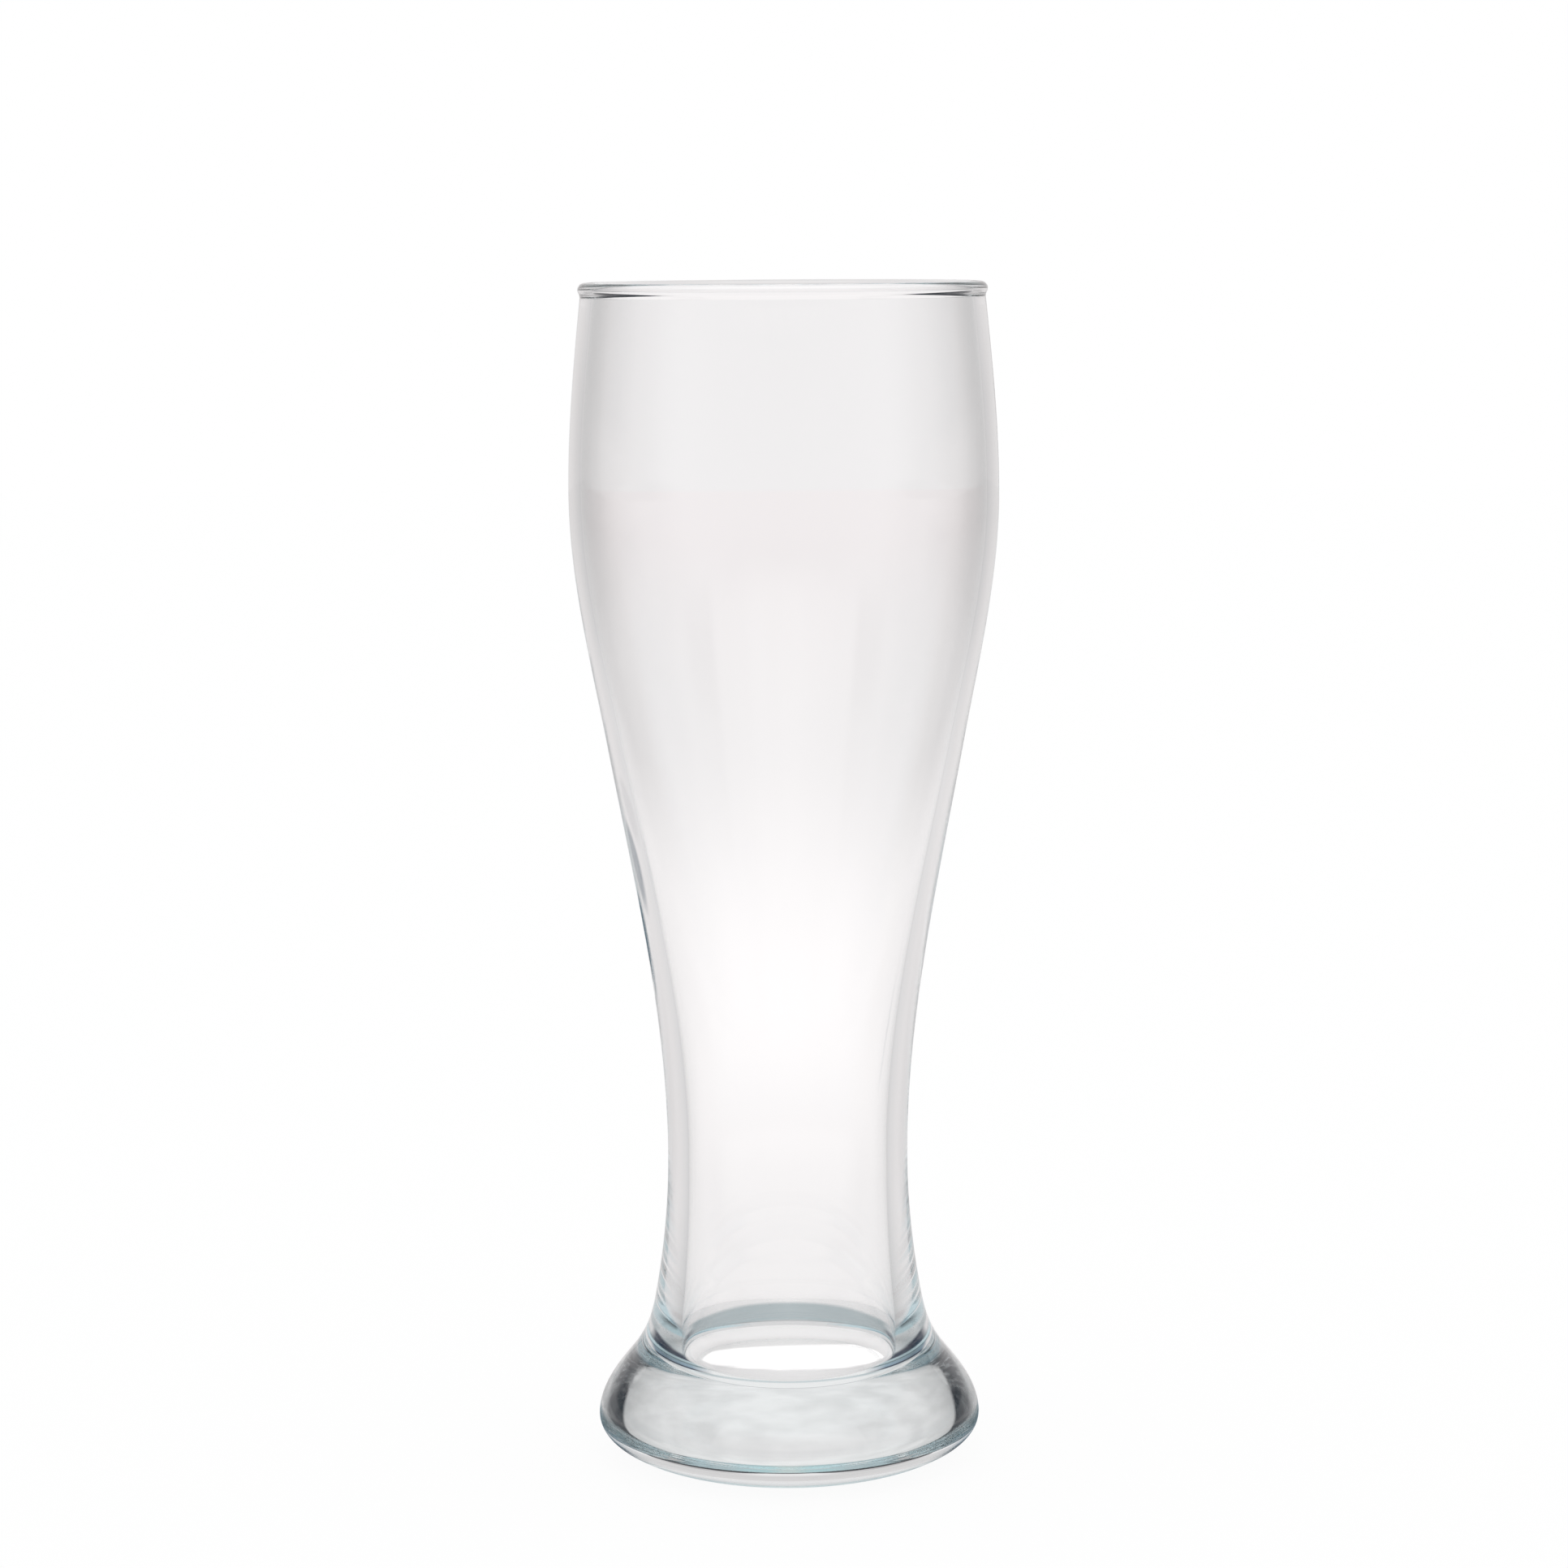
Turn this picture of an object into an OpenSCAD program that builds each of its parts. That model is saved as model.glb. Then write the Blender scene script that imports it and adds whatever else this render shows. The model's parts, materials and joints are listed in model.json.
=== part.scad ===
// Weizen glass: a tall, clear wheat-beer glass with a rounded rim, a wide belly, a slim waist and a heavy foot.
// Millimetres. Z is the axis of the glass, and the foot stands on the plane Z = 0.
// The outside is a curve through named stations, and the inside is the outside less the wall.
// The rim bead, the bowl and the foot are fused to each other on flat rings.

/* [Rim] */
// Height of the glass, from the table to the top of the rim
glass_h = 225; // [212:0.5:240]
// Outside diameter of the rim bead
rim_d = 77; // [72:0.1:80]
// Thickness of the rim bead
bead_t = 2.7; // [2.2:0.05:3.4]
// How far the bead stands out from the wall under it
bead_proud = 0.4; // [0.1:0.05:0.6]
// Radius of the hollow under the bead
neck_r = 1.5; // [0.8:0.1:3]
// Inward lean of the wall just under the bead, in degrees
lip_lean = 6; // [0:0.5:12]

/* [Bowl] */
// Outside diameter of the belly
belly_d = 81.3; // [78:0.1:88]
// Height of the belly above the table
belly_z = 185.5; // [170:0.5:198]
// Thickness of the wall at the belly
belly_wall = 2.3; // [1.8:0.05:3.2]
// Outside diameter halfway up the taper
taper_d = 67.5; // [62:0.1:72]
// Height of that place on the taper
taper_z = 137; // [125:0.5:150]
// Outward lean of the taper there, in degrees
taper_lean = 10.4; // [7:0.1:13]
// Thickness of the wall there
taper_wall = 2.7; // [2:0.05:3.4]
// Outside diameter of the waist
waist_d = 46.1; // [43:0.1:50]
// Height of the waist above the table
waist_z = 58.5; // [48:0.5:70]
// Thickness of the wall at the waist
waist_wall = 4; // [3:0.05:5]

/* [Foot] */
// Outside diameter of the ankle, where the bowl is fused to the foot
ankle_d = 50.4; // [48:0.1:54]
// Height of the ankle above the table
ankle_z = 33.5; // [29:0.5:40]
// Lean of the ankle, in degrees
ankle_lean = 9.7; // [5:0.1:14]
// Outside diameter halfway down the flare of the foot
flare_d = 61.6; // [57:0.1:67]
// Height of that place on the flare
flare_z = 19; // [16:0.5:24]
// Lean of the flare there, in degrees
flare_lean = 40.5; // [28:0.5:45]
// Outside diameter of the foot
foot_d = 73.6; // [69:0.1:80]
// Height at which the foot is widest
foot_z = 7.4; // [6:0.1:11]
// How far the heel tucks in under the foot
heel_w = 8.8; // [5:0.1:12]
// Slope of the heel where it leaves the table, in degrees
heel_slope = 18; // [10:0.5:35]
// Width of the flat ring that the glass stands on
ring_w = 3; // [1.5:0.5:6]
// Height of the hollow under the foot
hollow_h = 0.6; // [0.3:0.1:2]
// Height of the inside floor above the table
floor_z = 14.5; // [10:0.5:20]
// Radius of the rounded corner between the inside floor and the wall
corner_r = 5; // [2:0.5:9]
// Inside diameter at the foot of the wall, where the well is widest
well_d = 43.5; // [40:0.1:46]
// Outward lean of the inside wall down there, in degrees
well_lean = 8; // [2:0.5:12]

/* [Hidden] */
// Longest step along a curve
curve_step = 1.5;
// Number of steps round a small arc
arc_steps = 24;
$fn = 240;

// Rim bead: a round section whose inner side is flush with the inside of the wall
bead_r = bead_t / 2;
bead_axis_r = rim_d / 2 - bead_r;
bead_axis_z = glass_h - bead_r;
neck_axis_r = rim_d / 2 - bead_proud + neck_r;
neck_drop = sqrt(pow(bead_r + neck_r, 2) - pow(neck_axis_r - bead_axis_r, 2));
neck_turn = acos((neck_axis_r - bead_axis_r) / (bead_r + neck_r));
lip_r = rim_d / 2 - bead_proud;
lip_wall = bead_t - bead_proud;
lip_z = bead_axis_z - neck_drop;

// Foot: the well inside it, the ring that it stands on and the ball that the hollow under it is cut by
bore_r = waist_d / 2 - waist_wall;
floor_r = well_d / 2 - corner_r;
well_r = floor_r + corner_r * cos(well_lean);
well_z = floor_z + corner_r * (1 + sin(well_lean));
heel_h = heel_w * tan(heel_slope);
ring_outer_r = foot_d / 2 - heel_w;
ring_inner_r = ring_outer_r - ring_w;
hollow_ball_r = (pow(ring_inner_r, 2) + pow(hollow_h, 2)) / (2 * hollow_h);
hollow_turn = asin(ring_inner_r / hollow_ball_r);

// Stations of the outside, the well and the wall above it: height, size, and change of size with height
OUTSIDE = [
    [foot_z, foot_d / 2, 0],
    [flare_z, flare_d / 2, -tan(flare_lean)],
    [ankle_z, ankle_d / 2, -tan(ankle_lean)],
    [waist_z, waist_d / 2, 0],
    [taper_z, taper_d / 2, tan(taper_lean)],
    [belly_z, belly_d / 2, 0],
    [lip_z, lip_r, -tan(lip_lean)],
];
WELL = [
    [well_z, well_r, -tan(well_lean)],
    [waist_z, bore_r, 0],
];
WALL = [
    [waist_z, waist_wall, 0],
    [taper_z, taper_wall, (belly_wall - waist_wall) / (belly_z - waist_z)],
    [belly_z, belly_wall, 0],
    [lip_z, lip_wall, 0],
];

// Cubic curve from station a to station b, at height z
function between(a, b, z) =
    let (rise = b[0] - a[0], t = (z - a[0]) / rise, s = 1 - t)
    s * s * (1 + 2 * t) * a[1] + t * t * (3 - 2 * t) * b[1] + s * t * rise * (s * a[2] - t * b[2]);

// The curve through a list of stations, at height z
function along(stations, z, i = 0) =
    i >= len(stations) - 2 || z <= stations[i + 1][0]
        ? between(stations[i], stations[i + 1], z)
        : along(stations, z, i + 1);

function outside_r(z) = along(OUTSIDE, z);
function inside_r(z) = z <= waist_z ? along(WELL, z) : outside_r(z) - along(WALL, z);

// Heights from low to high, evenly spaced, with both ends
function heights(low, high) =
    let (steps = ceil((high - low) / curve_step))
    [for (i = [0:steps]) low + (high - low) * i / steps];

// Points on an arc of radius r about [x, z], from one angle to another
function arc(x, z, r, from, to) =
    [for (i = [0:arc_steps]) let (a = from + (to - from) * i / arc_steps) [x + r * cos(a), z + r * sin(a)]];

// The same points from last to first, and the same points less the first
function backwards(points) = [for (i = [len(points) - 1:-1:0]) points[i]];
function after_first(points) = [for (i = [1:len(points) - 1]) points[i]];

// The heel: a curve that leaves the bearing ring at a slant and ends upright at the widest place of the foot
function heel() =
    [for (i = [0:arc_steps]) let (t = i / arc_steps, s = 1 - t)
        [foot_d / 2 - heel_w * s * s, 2 * s * t * heel_h + t * t * foot_z]];

// The rounded lip, fused to the top of the bowl
module rim_bead() {
    inner_side = arc(bead_axis_r, bead_axis_z, bead_r, 180, 90);
    outer_side = arc(bead_axis_r, bead_axis_z, bead_r, 90, -neck_turn);
    into_the_wall = arc(neck_axis_r, lip_z, neck_r, 180 - neck_turn, 180);
    color("azure", 0.5)
        rotate_extrude()
            polygon(concat(
                [[lip_r - lip_wall, lip_z]],
                inner_side,
                after_first(outer_side),
                after_first(into_the_wall)
            ));
}

// The blown wall, from the ankle to the lip
module bowl() {
    levels = heights(ankle_z, lip_z);
    color("aliceblue", 0.4)
        rotate_extrude()
            polygon(concat(
                [for (z = levels) [outside_r(z), z]],
                [for (z = backwards(levels)) [inside_r(z), z]]
            ));
}

// The heavy base, with the bottom of the inside in it
module foot() {
    color("lightcyan", 0.5)
        rotate_extrude()
            polygon(concat(
                heel(),
                [for (z = after_first(heights(foot_z, ankle_z))) [outside_r(z), z]],
                [for (z = backwards(after_first(heights(well_z, ankle_z)))) [inside_r(z), z]],
                arc(floor_r, floor_z + corner_r, corner_r, well_lean, -90),
                [[0, floor_z]],
                arc(0, hollow_h - hollow_ball_r, hollow_ball_r, 90, 90 - hollow_turn)
            ));
}

rim_bead();
bowl();
foot();
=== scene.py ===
import json
import math

import bpy
from mathutils import Matrix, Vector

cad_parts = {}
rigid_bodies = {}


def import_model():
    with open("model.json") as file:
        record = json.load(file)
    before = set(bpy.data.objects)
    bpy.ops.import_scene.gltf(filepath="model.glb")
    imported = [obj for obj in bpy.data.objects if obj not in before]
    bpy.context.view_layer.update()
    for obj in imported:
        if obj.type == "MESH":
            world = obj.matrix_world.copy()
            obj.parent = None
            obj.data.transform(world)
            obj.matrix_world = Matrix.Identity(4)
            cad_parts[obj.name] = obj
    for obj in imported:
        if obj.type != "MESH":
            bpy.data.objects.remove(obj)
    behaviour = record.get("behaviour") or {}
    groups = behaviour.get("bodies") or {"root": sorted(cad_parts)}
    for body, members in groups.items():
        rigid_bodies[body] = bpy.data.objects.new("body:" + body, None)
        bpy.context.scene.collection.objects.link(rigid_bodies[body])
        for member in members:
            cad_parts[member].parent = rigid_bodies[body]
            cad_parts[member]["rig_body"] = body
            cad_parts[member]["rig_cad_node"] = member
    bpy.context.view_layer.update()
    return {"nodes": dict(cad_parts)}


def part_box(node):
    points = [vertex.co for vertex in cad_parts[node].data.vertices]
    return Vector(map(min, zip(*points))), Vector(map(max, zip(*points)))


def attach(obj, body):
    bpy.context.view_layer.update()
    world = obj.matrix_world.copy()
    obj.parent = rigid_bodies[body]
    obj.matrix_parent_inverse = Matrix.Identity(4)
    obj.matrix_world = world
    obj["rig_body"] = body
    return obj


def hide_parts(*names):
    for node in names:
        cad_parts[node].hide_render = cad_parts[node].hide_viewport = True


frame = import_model()

bl_info = {
    "name": "Weizen glass",
    "version": (1, 0, 0),
    "blender": (4, 5, 0),
    "location": "3D View > Sidebar > Glass",
    "description": "A clear wheat-beer glass in a white studio, built on its packed frame",
    "category": "Object",
}

# The nodes of the frame from the table upwards, and the heights at which their glass is fused
GLASS_NODES = ("foot", "bowl", "rim_bead")
FUSED_HEIGHTS = (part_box("foot")[1].z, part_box("rim_bead")[0].z)
# Points of the frame that lie closer than this are one point
SAME_PLACE = 2e-6
# Side of the square photograph in pixels
PHOTO_SIDE = 1932
# Heights between which the walls are thick, and the height of a face there that is worth rounding
THICK_WALLS = (0.007, 0.075)
LONG_FACE = 0.0005
# Faces across the rounded edge of the bearing ring
RING_FACES = 6
# Height to which the bearing ring is scuffed, and how densely the seeds in the glass lie
RING_SCUFF = 0.0002
SEEDS_PER_METRE = 45.0
# Waves in a metre along X, Y and Z, in the drawn wall, the scuffs, the lit panels and the pool of light
WALL_WAVES = (70.0, 70.0, 9.0)
SCUFF_WAVES = (900.0, 900.0, 900.0)
PANEL_WAVES = (7.0, 7.0, 20.0)
POOL_WAVES = (110.0, 420.0, 1.0)
# The range that soft noise mostly keeps to
NOISE_RANGE = (0.35, 0.65)
# The table lies this far under the bearing ring, so that the two faces don't coincide
TABLE_GAP = 0.0001
# White as the lit table has it, which is faintly warm
WARM_WHITE = (1.0, 0.974, 0.975)
# Colours of the studio's unlit sides, of its dim near side and of the painted shade of the table in front
# of the glass, where the glass mirrors it
SHADE = (0.12, 0.165, 0.185)
DIM = (0.44, 0.49, 0.51)
NEAR_TABLE_SHADE = (0.40, 0.45, 0.47)
# Elevations in degrees over which one part of the studio gives way to the next
SCREEN_FROM = (0, 2)
WALLS_FROM = (5, 7)
PANELS_FROM = (10, 14)
UPPER_FROM = (36, 40)
CEILING_FROM = (62, 72)
# Degrees that white stands for in the ramp of the screen's height, and half the screen's soft top edge
SCREEN_TALLEST = 20.0
SOFT_EDGE = 0.6
# The white strips of light run to the glass from all sides with this many degrees between them
STRIP_EVERY = 45.0
# Middle, half the size, turn and colour of a painted reflection: a dark patch on the far side of the table
# that only the glass mirrors, where a dark stand would be
DARK_REFLECTION_MIDDLE = (-0.163, 0.45, 0.0)
DARK_REFLECTION_REACH = (0.033, 0.112, 1.0)
DARK_REFLECTION_TURN = math.radians(-17)
DARK_REFLECTION_COLOUR = (0.14, 0.18, 0.22)
# Middle, half the size and strength of the pool of light that the foot gathers on the table
LIGHT_POOL = (0.0036, 0.0, 0.0)
POOL_REACH = (0.0287, 0.0225, 1.0)
POOL_STRENGTH = 1.55
# The pool's near edge: where it fades, how far it wanders, and how strongly it bows back, per metre
POOL_EDGE = (-0.0012, 0.0018)
POOL_RIPPLE = 0.005
POOL_BOW = 7.0
# Distances from the axis over which the table comes to count as far off
FAR_OFF = (0.5, 0.8)
# Light on the table where it is seen through one wall alone
ONE_WALL = 0.76
# Distances from the axis at which the ring of painted shade and light on the table under the heel is
# missing and full, inside and then outside
HEEL_RISES = (0.0255, 0.028)
HEEL_FALLS = (0.034, 0.0315)
# Colours of that ring beside the glass, a deep painted shade, and in front of it, a paler painted shade
# tinted by light through the heel
HEEL_SHADE = (0.02, 0.03, 0.07)
FRONT_GLOW = (0.72, 0.78, 0.80)
# Colour that light takes on when the thick foot mirrors it more than twice
DEEP_TINT = (0.74, 0.94, 1.0)
# Width of the camera's sensor in millimetres, and the nearest that it sees, in metres
SENSOR_WIDTH = 36.0
NEAREST = 0.01
# Light runs round inside the rim and the foot many times before it leaves
LIGHT_BOUNCES = 200
# Light mirrored more often than this was caught in the rim bead or the foot, and it is this much brighter
CAUGHT_AFTER = 15
CAUGHT_LIGHT = 1.7


class GlassSettings(bpy.types.PropertyGroup):
    """Sizes and colours of the glass."""

    steps: bpy.props.IntProperty(
        name="Steps round", description="Faces in one turn of the glass", default=140, min=24, max=140)
    ring_edge: bpy.props.FloatProperty(
        name="Ring edge", description="Rounding of the outer edge of the bearing ring",
        default=0.0006, min=0.0001, max=0.002, subtype="DISTANCE", unit="LENGTH")
    crease: bpy.props.FloatProperty(
        name="Crease", description="Edges that turn more than this stay sharp",
        default=math.radians(30), min=0.0, max=math.pi, subtype="ANGLE")
    bend: bpy.props.FloatProperty(
        name="Bending of light", description="Refractive index of soda-lime glass",
        default=1.52, min=1.3, max=1.8)
    tint: bpy.props.FloatVectorProperty(
        name="Tint", description="Colour that thick glass turns to",
        default=(0.34, 0.40, 0.41), min=0.0, max=1.0, size=3, subtype="COLOR")
    tint_strength: bpy.props.FloatProperty(
        name="Tint strength", description="Light taken up in a metre of glass",
        default=4.0, min=0.0, max=20.0)
    polish: bpy.props.FloatProperty(
        name="Polish", description="Roughness of the fire-polished skin",
        default=0.0, min=0.0, max=0.2, subtype="FACTOR")
    waviness: bpy.props.FloatProperty(
        name="Waviness", description="Depth of the upright waves that drawing leaves in the wall",
        default=0.000012, min=0.0, max=0.001, precision=6, subtype="DISTANCE", unit="LENGTH")
    seed_size: bpy.props.FloatProperty(
        name="Seed size", description="Size of the tiny bubbles in the glass",
        default=0.0006, min=0.0, max=0.005, precision=5, subtype="DISTANCE", unit="LENGTH")
    wear: bpy.props.FloatProperty(
        name="Wear", description="Roughness of the scuffed bearing ring and of the seeds",
        default=0.3, min=0.0, max=1.0, subtype="FACTOR")


class StudioSettings(bpy.types.PropertyGroup):
    """Place of the camera, the table and what stands around it."""

    camera_back: bpy.props.FloatProperty(
        name="Camera distance", description="From the axis of the glass to the camera",
        default=0.7924, min=0.3, max=3.0, subtype="DISTANCE", unit="LENGTH")
    camera_height: bpy.props.FloatProperty(
        name="Camera height", description="Above the table",
        default=0.2347, min=0.0, max=2.0, subtype="DISTANCE", unit="LENGTH")
    camera_pitch: bpy.props.FloatProperty(
        name="Camera pitch", description="How far the camera looks down",
        default=math.radians(7.534), min=0.0, max=math.pi / 2, subtype="ANGLE")
    camera_roll: bpy.props.FloatProperty(
        name="Camera roll", description="Turn of the camera about its own axis",
        default=math.radians(-0.342), min=-0.2, max=0.2, subtype="ANGLE")
    focal_pixels: bpy.props.FloatProperty(
        name="Focal length", description="In pixels of the photograph",
        default=5165.8, min=500.0, max=20000.0)
    axis_pixel: bpy.props.FloatProperty(
        name="Axis", description="Pixel column of the glass's axis in the middle row",
        default=967.9, min=0.0, max=float(PHOTO_SIDE))
    table_size: bpy.props.FloatProperty(
        name="Table", description="Side of the white table",
        default=6.0, min=1.0, max=50.0, subtype="DISTANCE", unit="LENGTH")
    table_colour: bpy.props.FloatVectorProperty(
        name="Table colour", description="Colour of the table",
        default=(1.0, 1.0, 1.0), min=0.0, max=1.0, size=3, subtype="COLOR")
    shadow: bpy.props.FloatProperty(
        name="Shadow", description="How much of the glass's shadow the camera sees on the table",
        default=0.06, min=0.0, max=1.0, subtype="FACTOR")
    strip_ease: bpy.props.FloatProperty(
        name="Strip ease", description="How much paler the gaps between the strips are off the far side",
        default=0.5, min=0.0, max=1.0, subtype="FACTOR")
    # Painted shade and light: the table under the heel is shaded, and tinted by the light that reaches it
    # through the heel
    heel_glow: bpy.props.FloatVectorProperty(
        name="Heel glow", description="Colour of the light that reaches the table through the heel",
        default=(0.50, 0.58, 0.60), min=0.0, max=1.0, size=3, subtype="COLOR")
    ceiling: bpy.props.FloatVectorProperty(
        name="Ceiling", description="Colour of the ceiling, as the glass shows it",
        default=(0.66, 0.80, 0.79), min=0.0, max=1.0, size=3, subtype="COLOR")
    dark: bpy.props.FloatVectorProperty(
        name="Dark walls", description="Colour of the unlit studio beyond the screens",
        default=(0.012, 0.014, 0.022), min=0.0, max=1.0, size=3, subtype="COLOR")
    upper_walls: bpy.props.FloatVectorProperty(
        name="Upper walls", description="Colour of the walls beside the glass, up under the ceiling",
        default=(0.12, 0.20, 0.24), min=0.0, max=1.0, size=3, subtype="COLOR")


def deselect_all():
    """Deselects every object, because loading the frame leaves its nodes selected."""
    bpy.ops.object.select_all(action="DESELECT")


def pick_vertices(obj, test):
    """Selects the vertices of the mesh in edit mode whose place passes the test, and no others."""
    bpy.ops.object.mode_set(mode="OBJECT")
    for edge in obj.data.edges:
        edge.select = False
    for face in obj.data.polygons:
        face.select = False
    for vertex in obj.data.vertices:
        vertex.select = test(vertex.co)
    bpy.ops.object.mode_set(mode="EDIT")
    bpy.ops.mesh.select_mode(type="VERT")


def copy_of_nodes(name):
    """One object with the meshes of the glass's nodes, free of the frame."""
    deselect_all()
    for node in GLASS_NODES:
        frame["nodes"][node].select_set(True)
    bpy.context.view_layer.objects.active = frame["nodes"][GLASS_NODES[0]]
    bpy.ops.object.duplicate()
    bpy.ops.object.join()
    piece = bpy.context.view_layer.objects.active
    piece.name = name
    piece.data.name = name
    piece.parent = None
    piece.data.materials.clear()
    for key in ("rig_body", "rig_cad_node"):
        if key in piece:
            del piece[key]
    return piece


def cut_to_outline(piece):
    """Cuts the copy down to the outline that the plane Y = 0 has on the side of +X."""
    bpy.ops.object.mode_set(mode="EDIT")
    bpy.ops.mesh.select_mode(type="VERT")
    bpy.ops.mesh.select_all(action="SELECT")
    bpy.ops.mesh.remove_doubles(threshold=SAME_PLACE)
    bpy.ops.mesh.bisect(plane_co=(0, 0, 0), plane_no=(1, 0, 0), clear_inner=True, threshold=SAME_PLACE)
    bpy.ops.mesh.select_all(action="SELECT")
    bpy.ops.mesh.bisect(
        plane_co=(0, 0, 0), plane_no=(0, 1, 0), clear_inner=True, clear_outer=True, threshold=SAME_PLACE)
    bpy.ops.mesh.select_all(action="SELECT")
    bpy.ops.mesh.remove_doubles(threshold=SAME_PLACE)
    for height in FUSED_HEIGHTS:
        drop_fused_edge(piece, height)
    bpy.ops.mesh.select_all(action="SELECT")
    bpy.ops.mesh.delete_loose(use_verts=True, use_edges=False, use_faces=False)
    bpy.ops.object.mode_set(mode="OBJECT")


def drop_fused_edge(piece, height):
    """Deletes the edges that lie level at a fused joint, because the glass runs on through it."""
    bpy.ops.object.mode_set(mode="OBJECT")
    place = piece.data.vertices
    for vertex in place:
        vertex.select = False
    for edge in piece.data.edges:
        edge.select = all(abs(place[i].co.z - height) < SAME_PLACE for i in edge.vertices)
    bpy.ops.object.mode_set(mode="EDIT")
    bpy.ops.mesh.select_mode(type="EDGE")
    bpy.ops.mesh.delete(type="EDGE")
    bpy.ops.mesh.select_mode(type="VERT")


def check_outline(piece):
    """An outline that can be spun is one line whose two ends are on the axis."""
    count = [0] * len(piece.data.vertices)
    for edge in piece.data.edges:
        for i in edge.vertices:
            count[i] += 1
    ends = [v.co for v, n in zip(piece.data.vertices, count) if n == 1]
    if len(ends) != 2 or max(count) > 2 or min(count) < 1 or max(abs(c.x) for c in ends) > SAME_PLACE:
        raise RuntimeError(f"the outline isn't one line: {len(ends)} ends, {max(count)} edges at a point")


def round_thick_walls(piece):
    """Cuts the long faces of the thick walls in four and rounds them, because thick glass shows flats."""
    bpy.ops.mesh.select_mode(type="FACE")
    bpy.ops.mesh.select_all(action="DESELECT")
    bpy.ops.object.mode_set(mode="OBJECT")
    place = piece.data.vertices
    for face in piece.data.polygons:
        heights = [place[i].co.z for i in face.vertices]
        in_reach = THICK_WALLS[0] < min(heights) and max(heights) < THICK_WALLS[1]
        face.select = in_reach and max(heights) - min(heights) > LONG_FACE
    bpy.ops.object.mode_set(mode="EDIT")
    bpy.ops.mesh.subdivide(number_cuts=1, smoothness=1.0)


def spin_outline(piece, settings):
    """Rounds the outer edge of the bearing ring and spins the outline into the glass's closed skin."""
    ring_r = max(v.co.x for v in piece.data.vertices if v.co.z < SAME_PLACE)
    pick_vertices(piece, lambda co: co.z < SAME_PLACE and abs(co.x - ring_r) < SAME_PLACE)
    bpy.ops.mesh.bevel(offset=settings.ring_edge, segments=RING_FACES, affect="VERTICES")
    bpy.ops.mesh.select_all(action="SELECT")
    bpy.ops.mesh.spin(
        steps=settings.steps, angle=math.tau, center=(0, 0, 0), axis=(0, 0, 1), use_normal_flip=False)
    bpy.ops.mesh.select_all(action="SELECT")
    bpy.ops.mesh.remove_doubles(threshold=SAME_PLACE)
    bpy.ops.mesh.normals_make_consistent(inside=False)
    round_thick_walls(piece)
    bpy.ops.object.mode_set(mode="OBJECT")
    bpy.ops.object.shade_smooth_by_angle(angle=settings.crease)


def math_node(tree, operation, first, second=None):
    """A Math node on two values, each a socket or a number."""
    node = tree.nodes.new("ShaderNodeMath")
    node.operation = operation
    for socket, value in zip(node.inputs, (first, second)):
        if value is None:
            continue
        if isinstance(value, bpy.types.NodeSocket):
            tree.links.new(value, socket)
        else:
            socket.default_value = value
    return node.outputs[0]


def ramp(tree, value, low, high, stops, smooth=False):
    """Colours along a value that runs from low to high, with the stops at places on that value."""
    spread = tree.nodes.new("ShaderNodeMapRange")
    spread.inputs["From Min"].default_value = low
    spread.inputs["From Max"].default_value = high
    tree.links.new(value, spread.inputs["Value"])
    node = tree.nodes.new("ShaderNodeValToRGB")
    tree.links.new(spread.outputs["Result"], node.inputs["Fac"])
    node.color_ramp.interpolation = "B_SPLINE" if smooth else "LINEAR"
    elements = node.color_ramp.elements
    while len(elements) < len(stops):
        elements.new(1.0)
    for element, (place, colour) in zip(elements, stops):
        element.position = (place - low) / (high - low)
        element.color = (*colour, 1.0)
    return node.outputs["Color"]


def mix(tree, factor, first, second, blend="MIX"):
    """A colour mixed from two colours, each a socket or three numbers, by a factor."""
    node = tree.nodes.new("ShaderNodeMix")
    node.data_type = "RGBA"
    node.blend_type = blend
    if isinstance(factor, bpy.types.NodeSocket):
        tree.links.new(factor, node.inputs["Factor"])
    else:
        node.inputs["Factor"].default_value = factor
    for name, value in (("A", first), ("B", second)):
        socket = [s for s in node.inputs if s.name == name and s.type == "RGBA"][0]
        if isinstance(value, bpy.types.NodeSocket):
            tree.links.new(value, socket)
        else:
            socket.default_value = (*value, 1.0)
    return [s for s in node.outputs if s.type == "RGBA"][0]


def times(tree, first, second):
    """The product of two colours."""
    return mix(tree, 1.0, first, second, "MULTIPLY")


def grey(level):
    """A grey of the given level."""
    return (level, level, level)


def rise(tree, value, start, end):
    """A factor that goes from 0 at the start to 1 at the end, and stays there."""
    node = tree.nodes.new("ShaderNodeMapRange")
    node.inputs["From Min"].default_value = start
    node.inputs["From Max"].default_value = end
    tree.links.new(value, node.inputs["Value"])
    return node.outputs["Result"]


def noise(tree, place, scale):
    """Soft noise of the given number of waves in a metre along X, Y and Z."""
    stretch = tree.nodes.new("ShaderNodeMapping")
    stretch.inputs["Scale"].default_value = scale
    tree.links.new(place, stretch.inputs["Vector"])
    node = tree.nodes.new("ShaderNodeTexNoise")
    node.inputs["Scale"].default_value = 1.0
    tree.links.new(stretch.outputs["Vector"], node.inputs["Vector"])
    return node.outputs[0]


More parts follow.
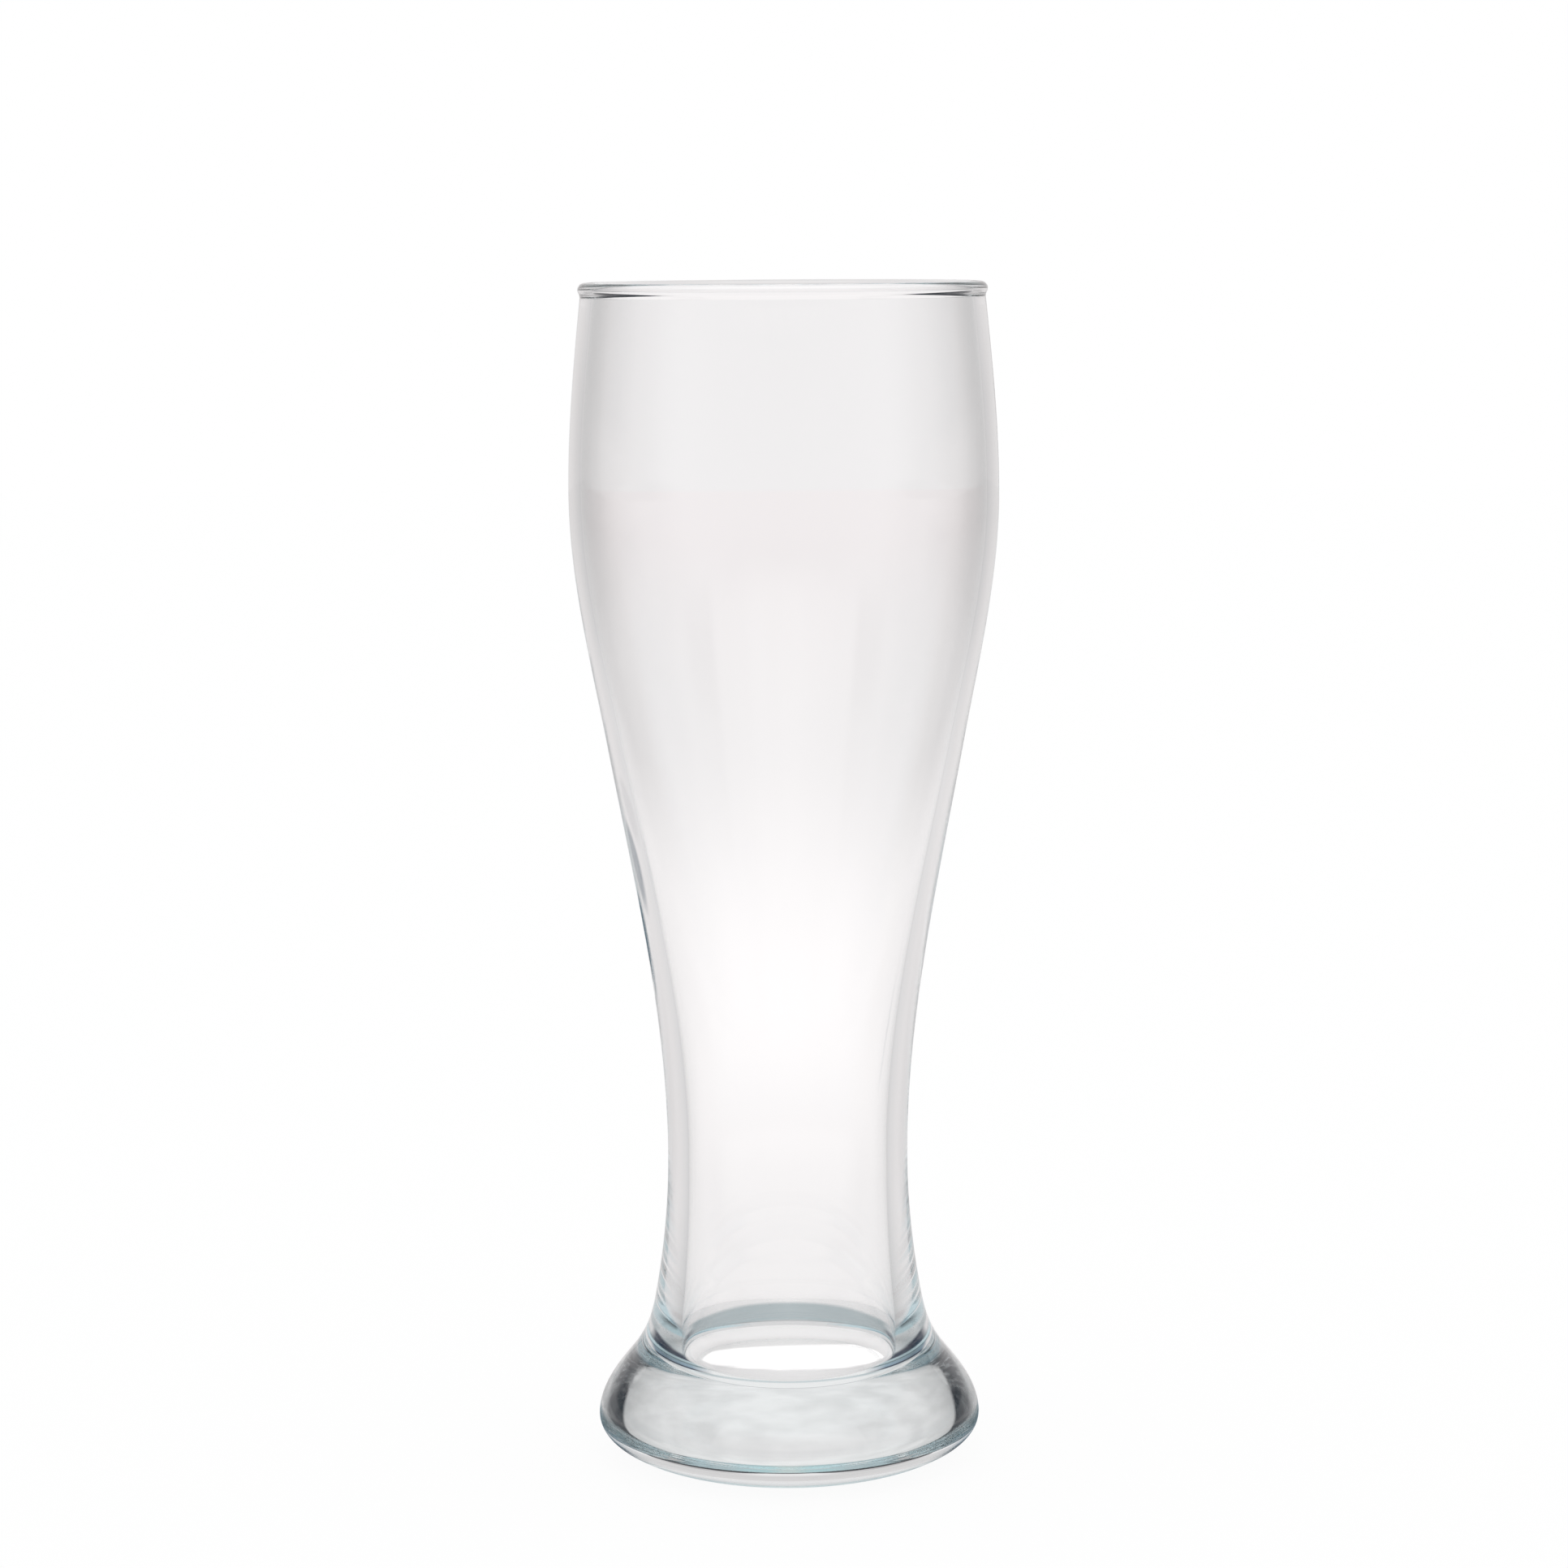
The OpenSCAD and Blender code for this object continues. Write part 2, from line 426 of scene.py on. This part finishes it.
def clear_glass(settings):
    """Clear soda-lime glass: faintly wavy and tinted, with a few tiny seeds and a worn bearing ring."""
    material = bpy.data.materials.new("clear_glass")
    material.use_nodes = True
    tree = material.node_tree
    skin = tree.nodes["Principled BSDF"]
    skin.inputs["Base Color"].default_value = (1.0, 1.0, 1.0, 1.0)
    skin.inputs["Transmission Weight"].default_value = 1.0
    skin.inputs["IOR"].default_value = settings.bend
    where = tree.nodes.new("ShaderNodeTexCoord").outputs["Object"]

    draw_lines = noise(tree, where, WALL_WAVES)
    waves = tree.nodes.new("ShaderNodeBump")
    waves.inputs["Strength"].default_value = 1.0
    waves.inputs["Distance"].default_value = settings.waviness
    tree.links.new(draw_lines, waves.inputs["Height"])
    tree.links.new(waves.outputs["Normal"], skin.inputs["Normal"])

    cells = tree.nodes.new("ShaderNodeTexVoronoi")
    cells.inputs["Scale"].default_value = SEEDS_PER_METRE
    tree.links.new(where, cells.inputs["Vector"])
    reach = settings.seed_size / 2 * SEEDS_PER_METRE
    seeds = rise(tree, cells.outputs["Distance"], reach, reach / 2)
    split = tree.nodes.new("ShaderNodeSeparateXYZ")
    tree.links.new(where, split.inputs["Vector"])
    underside = rise(tree, split.outputs["Z"], RING_SCUFF, RING_SCUFF / 4)
    scuffs = rise(tree, noise(tree, where, SCUFF_WAVES), *NOISE_RANGE)
    worn = math_node(tree, "MULTIPLY", underside, scuffs)
    marks = math_node(tree, "MULTIPLY", math_node(tree, "MAXIMUM", seeds, worn), settings.wear)
    tree.links.new(math_node(tree, "ADD", marks, settings.polish), skin.inputs["Roughness"])

    body = tree.nodes.new("ShaderNodeVolumeAbsorption")
    body.inputs["Color"].default_value = (*settings.tint, 1.0)
    body.inputs["Density"].default_value = settings.tint_strength
    tree.links.new(body.outputs["Volume"], tree.nodes["Material Output"].inputs["Volume"])
    return material


class WEIZEN_OT_glass(bpy.types.Operator):
    """Builds the glass as one closed skin over the foot, the bowl and the rim bead"""

    bl_idname = "weizen.glass"
    bl_label = "Weizen glass"

    def execute(self, context):
        settings = context.scene.weizen_glass
        piece = copy_of_nodes("weizen_glass")
        cut_to_outline(piece)
        check_outline(piece)
        spin_outline(piece, settings)
        piece.data.materials.append(clear_glass(settings))
        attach(piece, "root")
        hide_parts(*GLASS_NODES)
        return {"FINISHED"}


def angle_from_behind(tree, place):
    """The angle of a place from straight behind the glass, in degrees, to the left or to the right."""
    split = tree.nodes.new("ShaderNodeSeparateXYZ")
    tree.links.new(place, split.inputs["Vector"])
    turn = math_node(tree, "ARCTAN2", split.outputs["X"], split.outputs["Y"])
    return math_node(tree, "ABSOLUTE", math_node(tree, "DEGREES", turn))


def off_strip(tree, angle):
    """The angle from the middle line of the nearest white strip, in degrees."""
    return math_node(tree, "PINGPONG", angle, STRIP_EVERY / 2)


def eased(tree, colour, angle, settings):
    """The colour of the gaps between the strips, paler everywhere but on the far side of the glass."""
    ease = math_node(tree, "MULTIPLY", rise(tree, angle, 36, 46), settings.strip_ease)
    return mix(tree, ease, colour, grey(1.0))


def distance_from(tree, place, point, reach=(1.0, 1.0, 1.0), turn=0.0):
    """The distance of a place from a point, on axes turned about Z and measured in their reach."""
    local = tree.nodes.new("ShaderNodeMapping")
    local.vector_type = "TEXTURE"
    local.inputs["Location"].default_value = point
    local.inputs["Rotation"].default_value = (0.0, 0.0, turn)
    local.inputs["Scale"].default_value = reach
    tree.links.new(place, local.inputs["Vector"])
    length = tree.nodes.new("ShaderNodeVectorMath")
    length.operation = "LENGTH"
    tree.links.new(local.outputs["Vector"], length.inputs[0])
    return length.outputs["Value"]


def toned(level):
    """The warm white of the lit table at the given level."""
    return tuple(level * part for part in WARM_WHITE)


def strip_light(tree, angle, settings):
    """The white strips of light that cross under the glass, which fade to grey away from their middle
    lines.
    """
    strips = ramp(tree, off_strip(tree, angle), 0.0, STRIP_EVERY / 2, [
        (0.0, toned(0.945)), (2.7, toned(0.958)), (5.4, toned(0.955)), (8.1, toned(0.885)),
        (10.8, toned(0.77)), (14.9, toned(0.65)), (19.9, toned(0.55)), (22.5, toned(0.53))])
    return times(tree, eased(tree, strips, angle, settings), grey(1.02))


def far_table(tree, angle):
    """The far end of the table as the glass mirrors it: white behind, dark beside and dim in front."""
    return ramp(tree, angle, 0, 180, [
        (0, toned(0.8)), (18, toned(0.74)), (24, toned(0.69)), (34, toned(0.63)), (45, toned(0.56)),
        (60, grey(0.5)), (100, SHADE), (120, DIM)])


def mirrored_more_than(tree, times_mirrored):
    """1 for light that the glass has mirrored more than this many times, and 0 for other light."""
    light = tree.nodes.new("ShaderNodeLightPath")
    return math_node(tree, "GREATER_THAN", light.outputs["Glossy Depth"], times_mirrored + 0.5)


def deep_tint(tree, colour, angle):
    """The blue-green that light has when it leaves sideways after running to and fro in thick glass."""
    sideways = math_node(tree, "MULTIPLY", rise(tree, angle, 20, 45), rise(tree, angle, 155, 135))
    deep = math_node(tree, "MULTIPLY", sideways, mirrored_more_than(tree, 2))
    return mix(tree, deep, colour, times(tree, colour, DEEP_TINT))


def by_ray(tree, through, mirrored):
    """White for the camera and for matte surfaces, and for the glass what it shows through or mirrors."""
    light = tree.nodes.new("ShaderNodeLightPath")
    turned = mirrored_more_than(tree, 0)
    caught = mix(tree, mirrored_more_than(tree, CAUGHT_AFTER), grey(1.0), grey(CAUGHT_LIGHT))
    plain = math_node(tree, "MAXIMUM", light.outputs["Is Camera Ray"], light.outputs["Is Diffuse Ray"])
    return mix(tree, plain, mix(tree, turned, through, times(tree, mirrored, caught)), grey(1.0))


def screen_seen_through(tree, elevation, angle, settings):
    """The white screen, which is lower between the strips, the dark studio over it and the ceiling."""
    screen = strip_light(tree, angle, settings)
    top_edge = ramp(tree, off_strip(tree, angle), 0.0, STRIP_EVERY / 2, [
        (5, grey(0.85)), (7, grey(0.6)), (9.5, grey(0.37)), (14, grey(0.31))])
    over = math_node(tree, "SUBTRACT", elevation, math_node(tree, "MULTIPLY", top_edge, SCREEN_TALLEST))
    above = mix(tree, rise(tree, elevation, *UPPER_FROM), tuple(settings.dark), tuple(settings.ceiling))
    return mix(tree, rise(tree, over, -SOFT_EDGE, SOFT_EDGE), screen, above)


def studio_mirrored(tree, where, elevation, angle, settings):
    """The table's end, the screen, the low walls, the lit panels, the upper walls and the ceiling."""
    dark = tuple(settings.dark)
    teal = tuple(settings.upper_walls)
    screen = ramp(tree, angle, 0, 180, [
        (0, toned(0.9)), (20, toned(0.8)), (30, toned(0.71)), (40, toned(0.62)), (52, grey(0.44)),
        (62, grey(0.34)), (76, SHADE), (100, SHADE), (120, DIM)])
    walls = ramp(tree, angle, 0, 180, [
        (0, toned(0.9)), (20, toned(0.8)), (30, toned(0.7)), (36, toned(0.62)), (43, grey(0.2)),
        (60, SHADE), (100, SHADE), (120, DIM)])
    panels = ramp(tree, angle, 0, 180, [
        (0, grey(0.96)), (10, grey(0.95)), (20, grey(0.91)), (32, grey(0.82)), (47, grey(0.60)),
        (49, dark), (64, dark), (74, grey(0.64)), (90, grey(0.72)), (106, grey(0.64)), (116, dark),
        (131, dark), (133, grey(0.60)), (148, grey(0.82)), (170, grey(0.95))])
    upper = ramp(tree, angle, 0, 180, [
        (0, grey(0.85)), (38, grey(0.74)), (48, teal), (104, teal), (116, (0.58, 0.67, 0.70)),
        (180, (0.62, 0.72, 0.74))])
    patches = rise(tree, noise(tree, where, PANEL_WAVES), *NOISE_RANGE)
    uneven = mix(tree, patches, grey(0.92), grey(1.07))
    seen = mix(tree, rise(tree, elevation, *SCREEN_FROM), far_table(tree, angle), screen)
    seen = mix(tree, rise(tree, elevation, *WALLS_FROM), seen, walls)
    near_side = math_node(tree, "MULTIPLY", rise(tree, angle, 90, 120), rise(tree, elevation, 4, 2))
    near_side = math_node(tree, "MULTIPLY", near_side, mirrored_more_than(tree, 1))
    seen = mix(tree, near_side, seen, toned(0.9))
    seen = mix(tree, rise(tree, elevation, *PANELS_FROM), seen, times(tree, panels, uneven))
    deep = mirrored_more_than(tree, 2)
    seen = mix(tree, math_node(tree, "MULTIPLY", rise(tree, angle, 130, 150), deep), seen, toned(0.57))
    seen = mix(tree, rise(tree, elevation, *UPPER_FROM), seen, mix(tree, deep, upper, grey(0.66)))
    seen = mix(tree, rise(tree, elevation, *CEILING_FROM), seen, tuple(settings.ceiling))
    return deep_tint(tree, seen, angle)


def studio_world(settings):
    """A white surround, and for the glass the screen seen through it and the studio that it mirrors."""
    world = bpy.data.worlds.new("studio")
    bpy.context.scene.world = world
    world.use_nodes = True
    tree = world.node_tree
    where = tree.nodes.new("ShaderNodeTexCoord").outputs["Generated"]
    split = tree.nodes.new("ShaderNodeSeparateXYZ")
    tree.links.new(where, split.inputs["Vector"])
    elevation = math_node(tree, "DEGREES", math_node(tree, "ARCSINE", split.outputs["Z"]))
    angle = angle_from_behind(tree, where)
    through = screen_seen_through(tree, elevation, angle, settings)
    mirrored = studio_mirrored(tree, where, elevation, angle, settings)
    background = tree.nodes["Background"]
    background.inputs["Strength"].default_value = 1.0
    tree.links.new(by_ray(tree, through, mirrored), background.inputs["Color"])


def table_seen_through(tree, where, away, angle, settings):
    """The lit table behind the glass, the painted strips of light far off, and the pool of light under the
    foot.
    """
    share = ramp(tree, away, 0.0, 3.0, [
        (0.06, grey(0.0)), (0.15, grey(0.16)), (0.25, grey(0.26)), (0.36, grey(0.76)), (0.50, grey(0.74)),
        (0.68, grey(0.38)), (0.95, grey(0.10)), (1.3, grey(0.06)), (2.2, grey(0.28))], smooth=True)
    lit = mix(tree, share, toned(0.95), toned(1.155))
    split = tree.nodes.new("ShaderNodeSeparateXYZ")
    tree.links.new(where, split.inputs["Vector"])
    ripple = math_node(tree, "MULTIPLY", noise(tree, where, POOL_WAVES), POOL_RIPPLE)
    sideways = math_node(tree, "SUBTRACT", split.outputs["X"], LIGHT_POOL[0])
    bow = math_node(tree, "MULTIPLY", math_node(tree, "MULTIPLY", sideways, sideways), POOL_BOW)
    depth = math_node(tree, "SUBTRACT", math_node(tree, "SUBTRACT", split.outputs["Y"], ripple), bow)
    back_half = rise(tree, depth, *POOL_EDGE)
    inside = rise(tree, distance_from(tree, where, LIGHT_POOL, POOL_REACH), 1.03, 0.98)
    pool = math_node(tree, "MULTIPLY", back_half, inside)
    shaded = ramp(tree, away, 0.0, 0.06, [
        (0.0, grey(0.9)), (0.012, grey(0.84)), (0.026, grey(0.84)), (0.04, grey(1.0))])
    gathered = mix(tree, pool, shaded, grey(POOL_STRENGTH))
    # Painted light and shade: far off, the table shows the strips of light, darker in the gaps between them
    dim_between_strips = ramp(tree, off_strip(tree, angle), 0.0, STRIP_EVERY / 2, [
        (7.4, grey(1.0)), (11.3, grey(0.88)), (15.6, grey(0.80)), (22.5, grey(0.76))])
    dim_between_strips = eased(tree, dim_between_strips, angle, settings)
    fading = mix(tree, rise(tree, away, *FAR_OFF), grey(1.0), dim_between_strips)
    fading = mix(tree, rise(tree, away, 1.1, 2.2), fading, strip_light(tree, angle, settings))
    light = tree.nodes.new("ShaderNodeLightPath")
    walls_crossed = math_node(tree, "GREATER_THAN", light.outputs["Transmission Depth"], 2.5)
    dimmed = mix(tree, walls_crossed, grey(ONE_WALL), grey(1.0))
    return times(tree, times(tree, times(tree, lit, gathered), fading), dimmed)


def table_mirrored(tree, where, away, angle, settings):
    """The table as the glass mirrors it: lit behind, dim in front, shaded at the heel and beside it."""
    behind = ramp(tree, angle, 0, 180, [
        (0, toned(0.95)), (10, toned(0.9)), (20, toned(0.86)), (30, toned(0.82)), (40, toned(0.79)),
        (50, toned(0.75)), (60, toned(0.67)), (75, grey(0.5))])
    dimming = ramp(tree, away, 0.0, 3.0, [
        (0.35, grey(1.0)), (0.60, grey(0.95)), (1.0, grey(0.87)), (2.0, grey(0.82))], smooth=True)
    far_sides = ramp(tree, angle, 0, 180, [
        (26, grey(1.0)), (36, grey(0.90)), (43, grey(0.87)), (50, grey(0.74)), (60, grey(0.6))])
    dimming = times(tree, dimming, mix(tree, rise(tree, away, *FAR_OFF), grey(1.0), far_sides))
    middle = ramp(tree, angle, 0, 180, [(14, grey(0.78)), (24, grey(0.88)), (34, grey(1.0))])
    close_by = math_node(tree, "MULTIPLY", rise(tree, away, 0.12, 0.2), rise(tree, away, 0.42, 0.3))
    dimming = times(tree, dimming, mix(tree, close_by, grey(1.0), middle))
    # Painted reflection: a dark patch on the far table that only the glass mirrors
    dark_reflection = rise(tree, distance_from(tree, where, DARK_REFLECTION_MIDDLE, DARK_REFLECTION_REACH, DARK_REFLECTION_TURN), 1.25, 0.8)
    behind = mix(tree, dark_reflection, times(tree, behind, dimming), DARK_REFLECTION_COLOUR)
    # Painted shade: the table in front of the glass grows dim farther off, where the glass mirrors it
    front = ramp(tree, away, 0.0, 1.2, [
        (0.05, grey(0.9)), (0.17, grey(0.95)), (0.20, grey(0.85)), (0.225, grey(0.7)), (0.26, grey(0.5)),
        (0.37, NEAR_TABLE_SHADE), (0.60, NEAR_TABLE_SHADE), (1.0, DIM)], smooth=True)
    front = mix(tree, mirrored_more_than(tree, 1), front, toned(0.9))
    seen = mix(tree, rise(tree, angle, 75, 105), behind, front)
    # Painted shade and light: a ring on the table under the heel, tinted by the light through the heel and
    # paler in front
    glow = mix(tree, rise(tree, angle, 110, 140), tuple(settings.heel_glow), FRONT_GLOW)
    heel = math_node(tree, "MULTIPLY", rise(tree, away, *HEEL_RISES), rise(tree, away, *HEEL_FALLS))
    ends = mix(tree, heel, seen, times(tree, seen, glow))
    # Painted shade: dark rings on the table beside the foot, where the glass mirrors it
    sides = ramp(tree, away, 0.0, 0.1, [
        (0.020, grey(0.95)), (0.0305, (0.8, 0.86, 0.88)), (0.0322, HEEL_SHADE), (0.0348, HEEL_SHADE),
        (0.037, (0.30, 0.42, 0.52)), (0.050, (0.34, 0.46, 0.52)), (0.060, (0.64, 0.73, 0.77)),
        (0.069, grey(1.0))])
    beside = math_node(tree, "MULTIPLY", rise(tree, angle, 45, 56), rise(tree, angle, 125, 105))
    return deep_tint(tree, mix(tree, beside, ends, times(tree, seen, sides)), angle)


def white_table(settings):
    """A pale table that the camera sees as white, with a faint shadow of the glass on it."""
    material = bpy.data.materials.new("white_table")
    material.use_nodes = True
    tree = material.node_tree
    tree.nodes.remove(tree.nodes["Principled BSDF"])
    where = tree.nodes.new("ShaderNodeTexCoord").outputs["Object"]
    away = distance_from(tree, where, (0.0, 0.0, 0.0))
    angle = angle_from_behind(tree, where)
    through = table_seen_through(tree, where, away, angle, settings)
    mirrored = table_mirrored(tree, where, away, angle, settings)

    matte = tree.nodes.new("ShaderNodeBsdfDiffuse")
    matte.inputs["Color"].default_value = (*settings.table_colour, 1.0)
    white = tree.nodes.new("ShaderNodeEmission")
    tree.links.new(by_ray(tree, through, mirrored), white.inputs["Color"])
    light = tree.nodes.new("ShaderNodeLightPath")
    keeps_shadow = math_node(tree, "MULTIPLY", light.outputs["Is Camera Ray"], settings.shadow)
    shadow = math_node(tree, "MAXIMUM", keeps_shadow, light.outputs["Is Diffuse Ray"])
    mixed = tree.nodes.new("ShaderNodeMixShader")
    tree.links.new(shadow, mixed.inputs["Fac"])
    tree.links.new(white.outputs["Emission"], mixed.inputs[1])
    tree.links.new(matte.outputs["BSDF"], mixed.inputs[2])
    tree.links.new(mixed.outputs["Shader"], tree.nodes["Material Output"].inputs["Surface"])
    return material


class WEIZEN_OT_studio(bpy.types.Operator):
    """Sets up the white table, the studio around it and the camera"""

    bl_idname = "weizen.studio"
    bl_label = "White studio"

    def execute(self, context):
        settings = context.scene.weizen_studio
        deselect_all()
        bpy.ops.mesh.primitive_plane_add(size=settings.table_size, location=(0, 0, -TABLE_GAP))
        table = context.view_layer.objects.active
        table.name = "table"
        table.data.materials.append(white_table(settings))
        studio_world(settings)

        lens = bpy.data.cameras.new("camera")
        lens.sensor_width = SENSOR_WIDTH
        lens.lens = settings.focal_pixels / PHOTO_SIDE * lens.sensor_width
        lens.shift_x = -(settings.axis_pixel - PHOTO_SIDE / 2) / PHOTO_SIDE
        lens.clip_start = NEAREST
        camera = bpy.data.objects.new("camera", lens)
        context.scene.collection.objects.link(camera)
        tilt = Matrix.Rotation(math.pi / 2 - settings.camera_pitch, 4, "X")
        roll = Matrix.Rotation(settings.camera_roll, 4, "Z")
        place = Matrix.Translation((0.0, -settings.camera_back, settings.camera_height))
        camera.matrix_world = place @ tilt @ roll
        context.scene.camera = camera

        context.scene.view_settings.view_transform = "Standard"
        cycles = context.scene.cycles
        cycles.max_bounces = LIGHT_BOUNCES
        cycles.transmission_bounces = LIGHT_BOUNCES
        cycles.glossy_bounces = LIGHT_BOUNCES
        return {"FINISHED"}


class WEIZEN_PT_panel(bpy.types.Panel):
    """Lists the glass, the studio and their settings"""

    bl_idname = "WEIZEN_PT_panel"
    bl_label = "Weizen glass"
    bl_space_type = "VIEW_3D"
    bl_region_type = "UI"
    bl_category = "Glass"

    def draw(self, context):
        layout = self.layout
        for operator, settings in (
            (WEIZEN_OT_glass, context.scene.weizen_glass),
            (WEIZEN_OT_studio, context.scene.weizen_studio),
        ):
            box = layout.box()
            box.operator(operator.bl_idname)
            for name in settings.__annotations__:
                box.prop(settings, name)


CLASSES = (GlassSettings, StudioSettings, WEIZEN_OT_glass, WEIZEN_OT_studio, WEIZEN_PT_panel)


def register():
    """Registers the classes and gives the scene their settings."""
    for cls in CLASSES:
        bpy.utils.register_class(cls)
    bpy.types.Scene.weizen_glass = bpy.props.PointerProperty(type=GlassSettings)
    bpy.types.Scene.weizen_studio = bpy.props.PointerProperty(type=StudioSettings)


def unregister():
    """Takes away what register adds."""
    del bpy.types.Scene.weizen_studio
    del bpy.types.Scene.weizen_glass
    for cls in reversed(CLASSES):
        bpy.utils.unregister_class(cls)


def main():
    """Builds the glass and the studio."""
    register()
    bpy.ops.weizen.glass()
    bpy.ops.weizen.studio()


if __name__ == "__main__":
    main()
